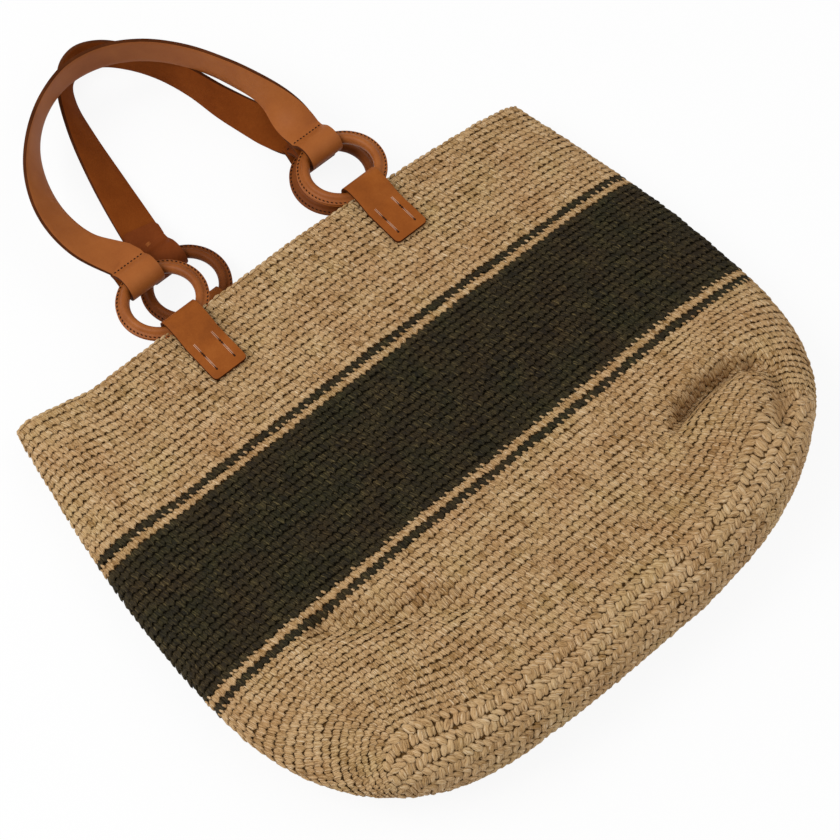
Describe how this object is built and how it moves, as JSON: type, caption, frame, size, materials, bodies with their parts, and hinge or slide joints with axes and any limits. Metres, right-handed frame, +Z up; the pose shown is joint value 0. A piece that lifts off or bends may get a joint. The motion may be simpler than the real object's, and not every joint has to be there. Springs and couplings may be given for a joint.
{
  "type": "crochet tote bag",
  "caption": "Soft crocheted raffia tote with stripes, round lower corners and an open mouth, carried by leather straps on leather-covered rings held in folded tabs.",
  "frame": {"origin": "middle of the part's box, on the surface it lies on", "axes": "+Y from the base to the handles, +Z up out of the front face, +X to the right seen from the front"},
  "size_m": [0.473, 0.614, 0.064],
  "materials": {
    "natural_raffia": "matte crocheted raffia with darker flecks",
    "olive_raffia": "matte crocheted raffia, dark olive and brown",
    "leather": "satin tan leather",
    "strap_leather": "pebbled tan leather, suede back",
    "core_cord": "plain cord inside the ring covers"
  },
  "bodies": {
    "bag": {"upper_raffia_wall": "natural_raffia", "upper_olive_stripe": "olive_raffia", "upper_raffia_stripe": "natural_raffia", "olive_band": "olive_raffia", "lower_raffia_stripe": "natural_raffia", "lower_olive_stripe": "olive_raffia", "lower_raffia_wall_and_base": "natural_raffia", "front_left_tab": "leather", "front_right_tab": "leather", "rear_left_tab": "leather", "rear_right_tab": "leather"},
    "front_left_ring": {"front_left_ring_cover": "leather", "front_left_ring_core": "core_cord"},
    "front_right_ring": {"front_right_ring_cover": "leather", "front_right_ring_core": "core_cord"},
    "front_strap": {"front_strap": "strap_leather"},
    "rear_left_ring": {"rear_left_ring_cover": "leather", "rear_left_ring_core": "core_cord"},
    "rear_right_ring": {"rear_right_ring_cover": "leather", "rear_right_ring_core": "core_cord"},
    "rear_strap": {"rear_strap": "strap_leather"}
  },
  "joints": [
    {"name": "front_left_ring_hinge", "type": "hinge", "parent": "bag", "child": "front_left_ring", "pos_m": [-0.08, 0.06778, 0.03605], "axis": [1, 0, 0], "range_deg": [0, 100]},
    {"name": "front_right_ring_hinge", "type": "hinge", "parent": "bag", "child": "front_right_ring", "pos_m": [0.081, 0.06778, 0.03605], "axis": [1, 0, 0], "range_deg": [0, 100]},
    {"name": "front_strap_hinge", "type": "hinge", "parent": "front_left_ring", "child": "front_strap", "pos_m": [-0.08, 0.11818, 0.03196], "axis": [1, 0, 0], "range_deg": [0, 45]},
    {"name": "rear_left_ring_hinge", "type": "hinge", "parent": "bag", "child": "rear_left_ring", "pos_m": [-0.0543, 0.07808, 0.01063], "axis": [1, 0, 0], "range_deg": [-100, 0]},
    {"name": "rear_right_ring_hinge", "type": "hinge", "parent": "bag", "child": "rear_right_ring", "pos_m": [0.0817, 0.07808, 0.01063], "axis": [1, 0, 0], "range_deg": [-100, 0]},
    {"name": "rear_strap_hinge", "type": "hinge", "parent": "rear_left_ring", "child": "rear_strap", "pos_m": [-0.0543, 0.12864, 0.01082], "axis": [1, 0, 0], "range_deg": [-45, 0]}
  ],
  "couplings": [
    {"joint": "front_right_ring_hinge", "follows": "front_left_ring_hinge", "ratio": 1},
    {"joint": "rear_right_ring_hinge", "follows": "rear_left_ring_hinge", "ratio": 1}
  ]
}
